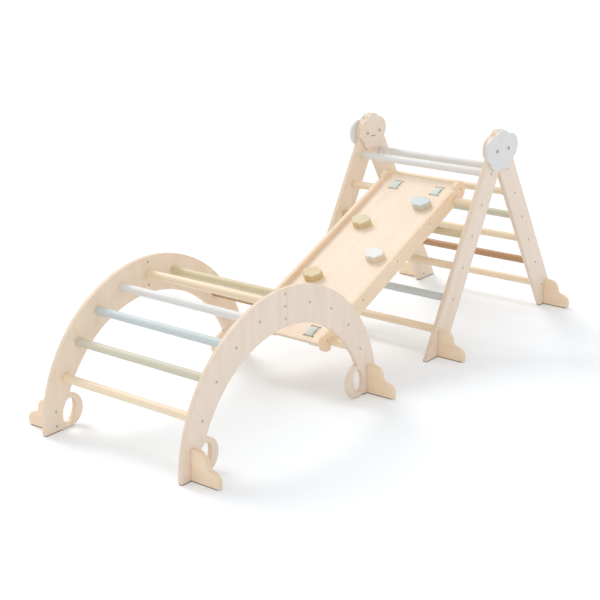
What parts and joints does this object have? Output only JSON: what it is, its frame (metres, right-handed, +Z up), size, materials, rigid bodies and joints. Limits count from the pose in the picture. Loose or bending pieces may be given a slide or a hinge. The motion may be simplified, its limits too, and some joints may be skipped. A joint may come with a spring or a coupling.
{
  "type": "climbing frame",
  "caption": "Wooden climbing set: a panelled arch with round rungs, an A-frame ladder with cloud heads, and a railed ramp with holds hung between them.",
  "frame": {"origin": "on the floor, in the middle of the length and of the width of the whole set", "axes": "+X from the arch to the A-frame, along the ramp's run; +Y to the left side; +Z up"},
  "size_m": [2.329, 0.8618, 0.8114],
  "materials": {
    "birch_plywood": "clear lacquered birch plywood",
    "natural_rung": "clear lacquered round rod",
    "white_paint": "painted wood, satin white",
    "sage_paint": "painted wood, satin sage",
    "blue_paint": "painted wood, satin light blue",
    "olive_paint": "painted wood, satin olive",
    "mustard_paint": "painted wood, satin mustard",
    "terracotta_paint": "painted wood, satin terracotta",
    "cloud_paint": "painted plywood, satin pale grey",
    "strap_webbing": "woven webbing",
    "steel_fasteners": "zinc-plated steel",
    "anti_slip_pad": "thin felted rubber"
  },
  "bodies": {
    "arch": {"arch_floor_pads": "anti_slip_pad", "arch_foot_front_left": "birch_plywood", "arch_foot_front_right": "birch_plywood", "arch_foot_rear_left": "birch_plywood", "arch_foot_rear_right": "birch_plywood", "arch_lap_bolts": "steel_fasteners", "arch_panel_front_left": "birch_plywood", "arch_panel_front_right": "birch_plywood", "arch_panel_rear_left": "birch_plywood", "arch_panel_rear_right": "birch_plywood", "arch_rung_1": "natural_rung", "arch_rung_2": "sage_paint", "arch_rung_3": "blue_paint", "arch_rung_4": "white_paint", "arch_rung_5": "natural_rung", "arch_rung_6": "olive_paint", "arch_rung_7": "natural_rung", "arch_rung_8": "terracotta_paint", "arch_rung_9": "natural_rung", "arch_screws": "steel_fasteners"},
    "triangle": {"front_ladder_rung_1": "white_paint", "front_ladder_rung_2": "natural_rung", "front_ladder_rung_3": "olive_paint", "front_ladder_rung_4": "natural_rung", "front_ladder_rung_5": "blue_paint", "front_ladder_rung_6": "natural_rung", "head_bolts": "steel_fasteners", "head_nuts": "steel_fasteners", "inner_cloud_left": "birch_plywood", "inner_cloud_right": "birch_plywood", "outer_cloud_left": "cloud_paint", "outer_cloud_right": "cloud_paint", "rear_ladder_rung_1": "white_paint", "rear_ladder_rung_2": "natural_rung", "rear_ladder_rung_3": "sage_paint", "rear_ladder_rung_4": "natural_rung", "rear_ladder_rung_5": "terracotta_paint", "rear_ladder_rung_6": "natural_rung", "triangle_floor_pads": "anti_slip_pad", "triangle_foot_front_left": "birch_plywood", "triangle_foot_front_right": "birch_plywood", "triangle_foot_rear_left": "birch_plywood", "triangle_foot_rear_right": "birch_plywood", "triangle_leg_front_left": "birch_plywood", "triangle_leg_front_right": "birch_plywood", "triangle_leg_rear_left": "birch_plywood", "triangle_leg_rear_right": "birch_plywood", "triangle_screws": "steel_fasteners"},
    "ramp": {"ramp_board": "birch_plywood", "ramp_hold_1": "mustard_paint", "ramp_hold_2": "white_paint", "ramp_hold_3": "olive_paint", "ramp_hold_4": "blue_paint", "ramp_rail_left": "birch_plywood", "ramp_rail_right": "birch_plywood", "ramp_screws": "steel_fasteners", "ramp_strap_high_left": "strap_webbing", "ramp_strap_high_right": "strap_webbing", "ramp_strap_low_left": "strap_webbing", "ramp_strap_low_right": "strap_webbing"}
  },
  "joints": [
    {"name": "ramp_lift", "type": "hinge", "parent": "arch", "child": "ramp", "pos_m": [-0.24471, 0, 0.1809], "axis": [0, -1, 0], "range_deg": [0, 60], "deforming": ["ramp_strap_high_left", "ramp_strap_high_right"]},
    {"name": "triangle_shift", "type": "slide", "parent": "arch", "child": "triangle", "axis": [0, 1, 0], "range_m": [-0.09, 0.09]}
  ]
}
